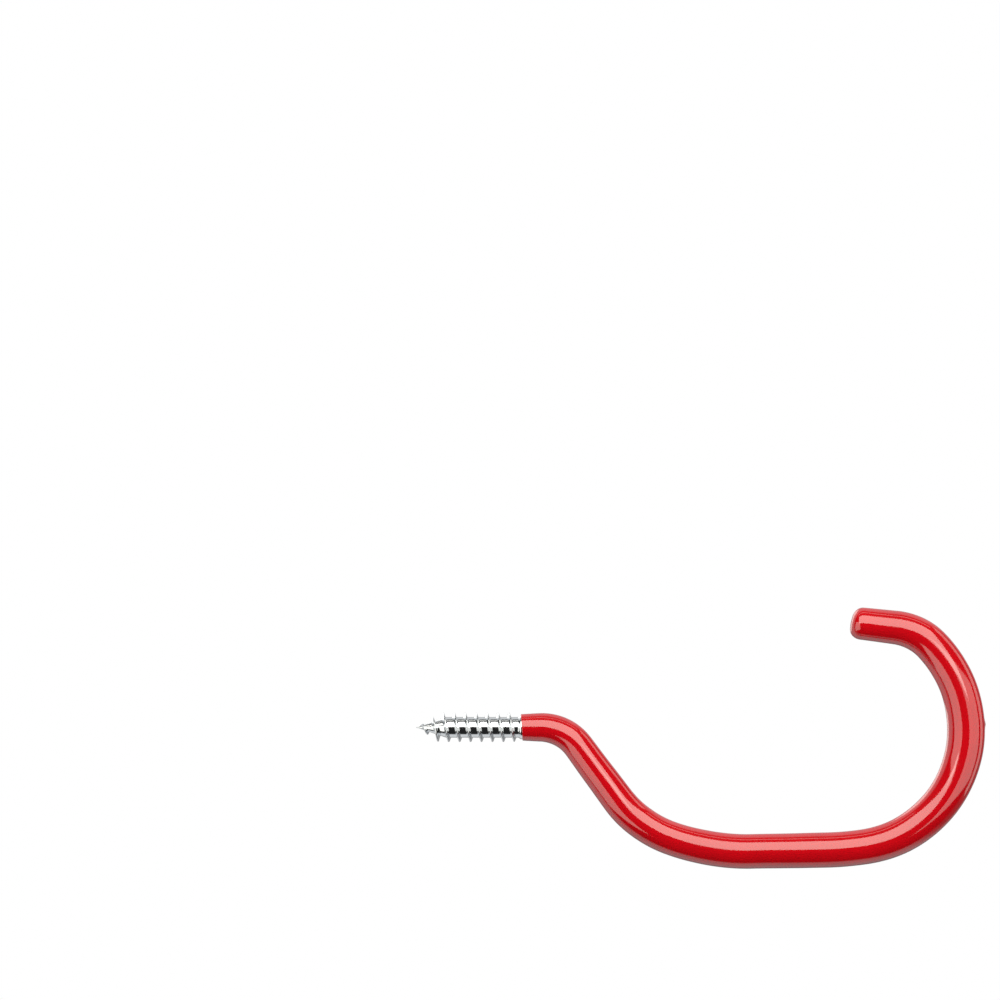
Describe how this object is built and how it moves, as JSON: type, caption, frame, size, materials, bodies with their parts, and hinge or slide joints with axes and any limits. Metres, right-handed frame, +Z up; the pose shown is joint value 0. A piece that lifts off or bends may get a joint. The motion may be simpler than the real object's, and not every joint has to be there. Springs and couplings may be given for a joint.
{
  "type": "garage utility hook",
  "caption": "Round screw-in utility hook: one steel rod bent into a wide open bowl, dipped in red vinyl, with a lag thread and gimlet point that drive into a stud.",
  "frame": {"origin": "on the screw's axis at the vinyl's edge, where the hook meets the wall when it is screwed home", "axes": "screw along X and pointing to -X into the wall, hook in the XZ plane reaching out to +X, +Z up"},
  "size_m": [0.152, 0.0098, 0.0697],
  "materials": {
    "zinc_plated_steel": "bright zinc plate",
    "red_vinyl": "glossy dipped vinyl"
  },
  "bodies": {
    "root": {"steel_hook_rod": "zinc_plated_steel", "vinyl_coat": "red_vinyl"}
  },
  "joints": []
}
